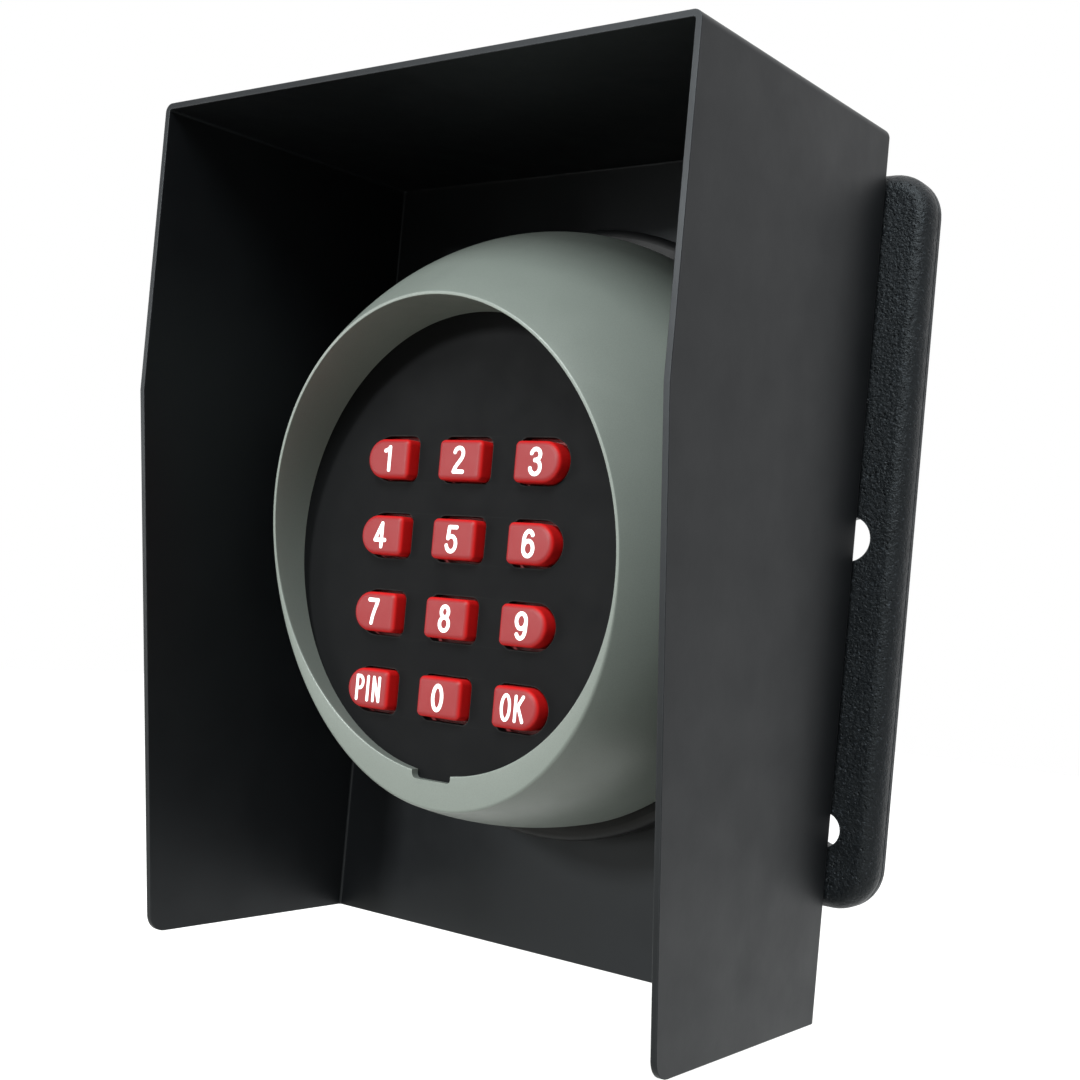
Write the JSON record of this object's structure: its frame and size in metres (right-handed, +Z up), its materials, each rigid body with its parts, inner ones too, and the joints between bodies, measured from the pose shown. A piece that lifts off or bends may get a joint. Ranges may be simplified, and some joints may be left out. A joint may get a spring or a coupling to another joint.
{
  "type": "alarm keypad panel",
  "caption": "Wall-mounted keypad with red push keys in a round domed housing, set inside a folded steel weather hood on a square mounting plate.",
  "frame": {"origin": "centre of the middle pair of wall holes, in the plane of the wall", "axes": "+X to the right seen from the front, +Y into the wall, +Z up; the keys face -Y"},
  "size_m": [0.14, 0.0758, 0.1678],
  "materials": {
    "hood_coat": "fine satin powder coat",
    "plate_coat": "coarse textured powder coat",
    "foam_rubber": "foam sheet",
    "black_plastic": "matte",
    "shell_paint": "satin metallic paint",
    "seal_rubber": "soft",
    "face_plastic": "fine matte",
    "key_plastic": "soft satin",
    "mat_silicone": "silicone",
    "board_laminate": "solder mask",
    "dome_steel": "bright",
    "screw_steel": "zinc",
    "chip_plastic": "matte",
    "buzzer_plastic": "matte",
    "holder_plastic": "matte",
    "cell_jacket": "gloss sleeve",
    "contact_metal": "nickel",
    "bolt_steel": "zinc",
    "nut_steel": "zinc",
    "lock_steel": "stainless"
  },
  "bodies": {
    "housing": {"rear_mount_plate": "plate_coat", "hood_shell": "hood_coat", "base_gasket": "foam_rubber", "keypad_base": "black_plastic", "keypad_shell": "shell_paint", "shell_seal": "seal_rubber", "face_plate": "face_plastic", "keypad_mat": "mat_silicone", "circuit_board": "board_laminate", "snap_domes": "dome_steel", "board_screws": "screw_steel", "microcontroller": "chip_plastic", "buzzer": "buzzer_plastic", "battery_holder": "holder_plastic", "battery_cells": "cell_jacket", "battery_contacts": "contact_metal", "base_bolts": "bolt_steel", "base_nuts": "nut_steel", "shell_lock_screws": "lock_steel"},
    "key_1_body": {"key_1": "key_plastic"},
    "key_2_body": {"key_2": "key_plastic"},
    "key_3_body": {"key_3": "key_plastic"},
    "key_4_body": {"key_4": "key_plastic"},
    "key_5_body": {"key_5": "key_plastic"},
    "key_6_body": {"key_6": "key_plastic"},
    "key_7_body": {"key_7": "key_plastic"},
    "key_8_body": {"key_8": "key_plastic"},
    "key_9_body": {"key_9": "key_plastic"},
    "key_0_body": {"key_0": "key_plastic"},
    "key_pin_body": {"key_pin": "key_plastic"},
    "key_ok_body": {"key_ok": "key_plastic"}
  },
  "joints": [
    {"name": "key_1_press", "type": "slide", "parent": "housing", "child": "key_1_body", "axis": [0, 1, 0], "range_m": [0, 0.0012], "stiffness_N_per_m": 400},
    {"name": "key_2_press", "type": "slide", "parent": "housing", "child": "key_2_body", "axis": [0, 1, 0], "range_m": [0, 0.0012], "stiffness_N_per_m": 400},
    {"name": "key_3_press", "type": "slide", "parent": "housing", "child": "key_3_body", "axis": [0, 1, 0], "range_m": [0, 0.0012], "stiffness_N_per_m": 400},
    {"name": "key_4_press", "type": "slide", "parent": "housing", "child": "key_4_body", "axis": [0, 1, 0], "range_m": [0, 0.0012], "stiffness_N_per_m": 400},
    {"name": "key_5_press", "type": "slide", "parent": "housing", "child": "key_5_body", "axis": [0, 1, 0], "range_m": [0, 0.0012], "stiffness_N_per_m": 400},
    {"name": "key_6_press", "type": "slide", "parent": "housing", "child": "key_6_body", "axis": [0, 1, 0], "range_m": [0, 0.0012], "stiffness_N_per_m": 400},
    {"name": "key_7_press", "type": "slide", "parent": "housing", "child": "key_7_body", "axis": [0, 1, 0], "range_m": [0, 0.0012], "stiffness_N_per_m": 400},
    {"name": "key_8_press", "type": "slide", "parent": "housing", "child": "key_8_body", "axis": [0, 1, 0], "range_m": [0, 0.0012], "stiffness_N_per_m": 400},
    {"name": "key_9_press", "type": "slide", "parent": "housing", "child": "key_9_body", "axis": [0, 1, 0], "range_m": [0, 0.0012], "stiffness_N_per_m": 400},
    {"name": "key_0_press", "type": "slide", "parent": "housing", "child": "key_0_body", "axis": [0, 1, 0], "range_m": [0, 0.0012], "stiffness_N_per_m": 400},
    {"name": "key_pin_press", "type": "slide", "parent": "housing", "child": "key_pin_body", "axis": [0, 1, 0], "range_m": [0, 0.0012], "stiffness_N_per_m": 400},
    {"name": "key_ok_press", "type": "slide", "parent": "housing", "child": "key_ok_body", "axis": [0, 1, 0], "range_m": [0, 0.0012], "stiffness_N_per_m": 400}
  ]
}
